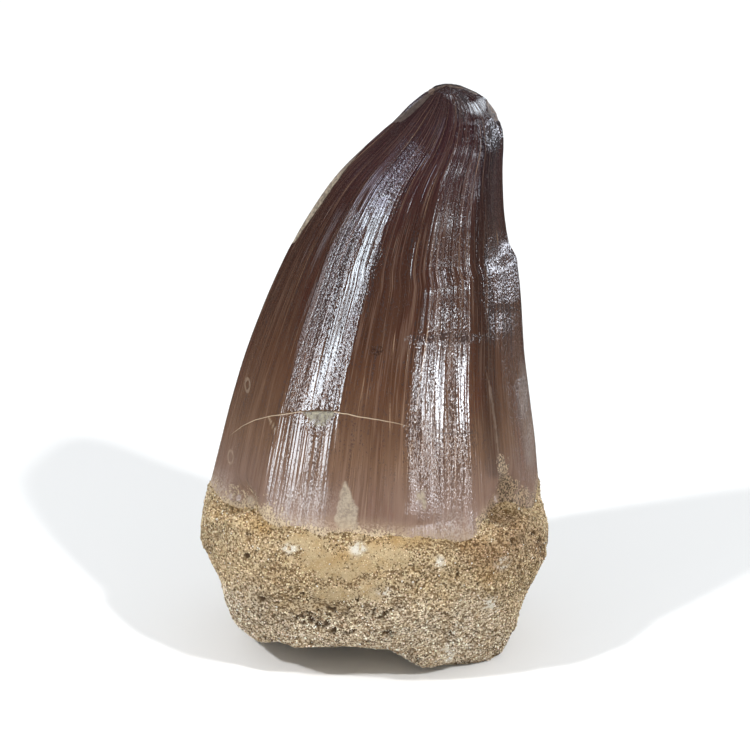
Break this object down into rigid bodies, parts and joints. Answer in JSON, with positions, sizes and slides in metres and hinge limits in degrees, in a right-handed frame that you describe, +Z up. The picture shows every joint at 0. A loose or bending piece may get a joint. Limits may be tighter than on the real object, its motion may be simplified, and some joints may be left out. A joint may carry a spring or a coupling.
{
  "type": "fossil mosasaur tooth",
  "caption": "Tall curved fossil tooth crown, faceted and two-edged, standing in a lump of sandy matrix that rests on a small flat spot.",
  "frame": {"origin": "middle of the footprint box, on the surface that the tooth stands on", "axes": "+Z up through the crown, +X towards the cutting edge that the apex leans over, -Y the broad faceted face"},
  "size_m": [0.0356, 0.029, 0.0603],
  "materials": {
    "enamel": "polished brown fossil enamel, finely striated",
    "sandy_matrix": "rough granular phosphate sandstone"
  },
  "bodies": {
    "root": {"crown": "enamel", "root_matrix": "sandy_matrix"}
  },
  "joints": []
}
